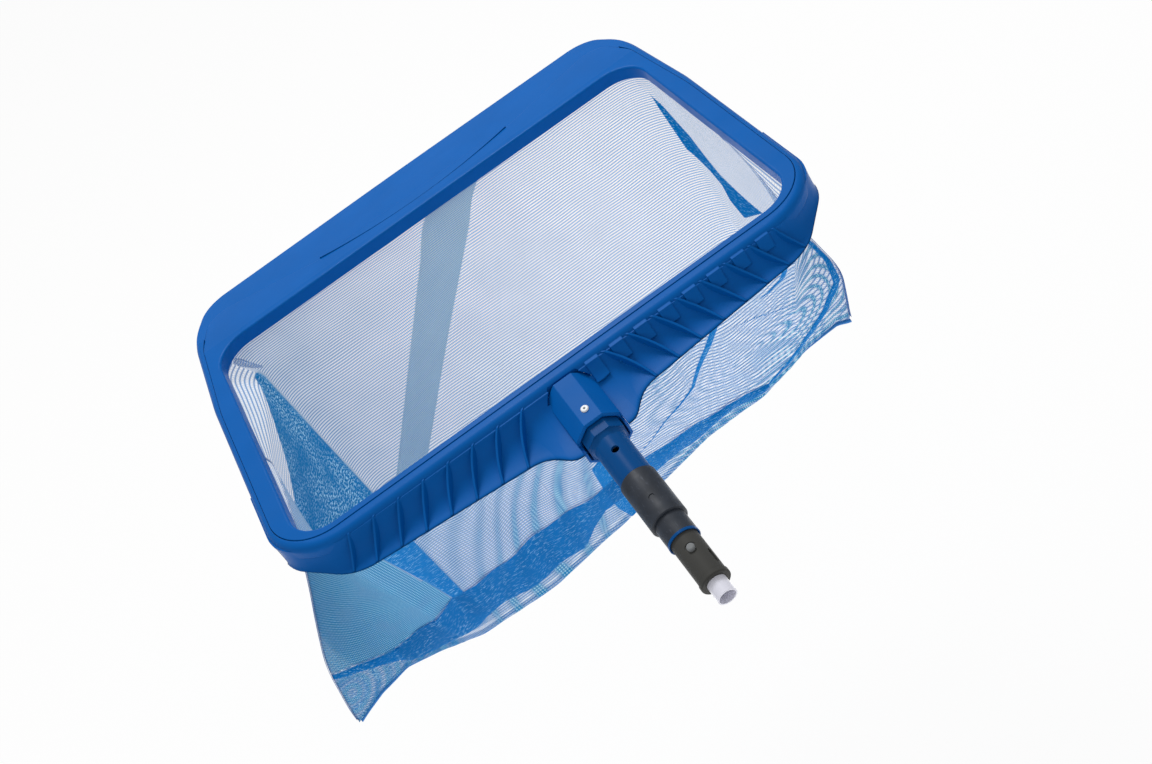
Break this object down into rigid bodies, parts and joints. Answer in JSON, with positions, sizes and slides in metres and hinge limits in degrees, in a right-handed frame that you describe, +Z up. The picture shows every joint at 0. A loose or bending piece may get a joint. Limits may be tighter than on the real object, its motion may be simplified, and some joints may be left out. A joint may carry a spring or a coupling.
{
  "type": "leaf skimmer net",
  "caption": "Leaf skimmer net: bevelled scoop frame with a deep mesh bag clamped under a flush bezel, ribbed apron and octagonal handle socket, and a snap-button pole adapter",
  "frame": {"origin": "centre of the pole's free end, where the tool is held", "axes": "+X along the net's long side, +Y from the handle to the scoop lip, +Z up, square to the plane of the net's opening; the bag hangs towards -Z"},
  "size_m": [0.5932, 0.6367, 0.3265],
  "materials": {
    "frame_blue": "satin moulded polypropylene",
    "retainer_blue": "satin moulded polypropylene",
    "neck_blue": "smooth extruded plastic",
    "sleeve_dark": "soft matte",
    "adapter_grey": "fine matte",
    "button_grey": "satin",
    "spring_steel": "bright",
    "pole_white": "smooth coating",
    "rivet_white": "enamelled",
    "screw_steel": "zinc plated",
    "net_cloth": "fine knitted nylon mesh",
    "band_cloth": "doubled mesh",
    "fold_cloth": "folded mesh",
    "tape_cloth": "woven tape",
    "hem_cloth": "sewn hem tape",
    "cord_white": "braided cord"
  },
  "bodies": {
    "pole": {"pole_tube": "pole_white", "pole_adapter": "adapter_grey", "button_spring": "spring_steel"},
    "head": {"outer_frame": "frame_blue", "net_retainer": "retainer_blue", "retainer_screws": "screw_steel", "hem_cord": "cord_white", "bag_hem": "hem_cloth", "net_bag": "net_cloth", "corner_gather": "fold_cloth", "seam_band": "fold_cloth", "panel_band": "band_cloth", "left_seam_tape": "tape_cloth", "right_seam_tape": "tape_cloth", "bottom_binding": "tape_cloth", "socket_rivet": "rivet_white", "neck_tube": "neck_blue", "grip_sleeve": "sleeve_dark"},
    "button_top": {"snap_button_top": "button_grey"},
    "button_bottom": {"snap_button_bottom": "button_grey"}
  },
  "joints": [
    {"name": "pole_release", "type": "slide", "parent": "pole", "child": "head", "axis": [0, 0.9848, 0.1736], "range_m": [-0.0105, 0.045]},
    {"name": "press_top", "type": "slide", "parent": "pole", "child": "button_top", "axis": [0, 0.1736, -0.9848], "range_m": [0, 0.0026], "stiffness_N_per_m": 500, "springref_m": -0.002, "deforming": ["button_spring"]},
    {"name": "press_bottom", "type": "slide", "parent": "pole", "child": "button_bottom", "axis": [0, -0.1736, 0.9848], "range_m": [0, 0.0026], "stiffness_N_per_m": 500, "springref_m": -0.002}
  ]
}
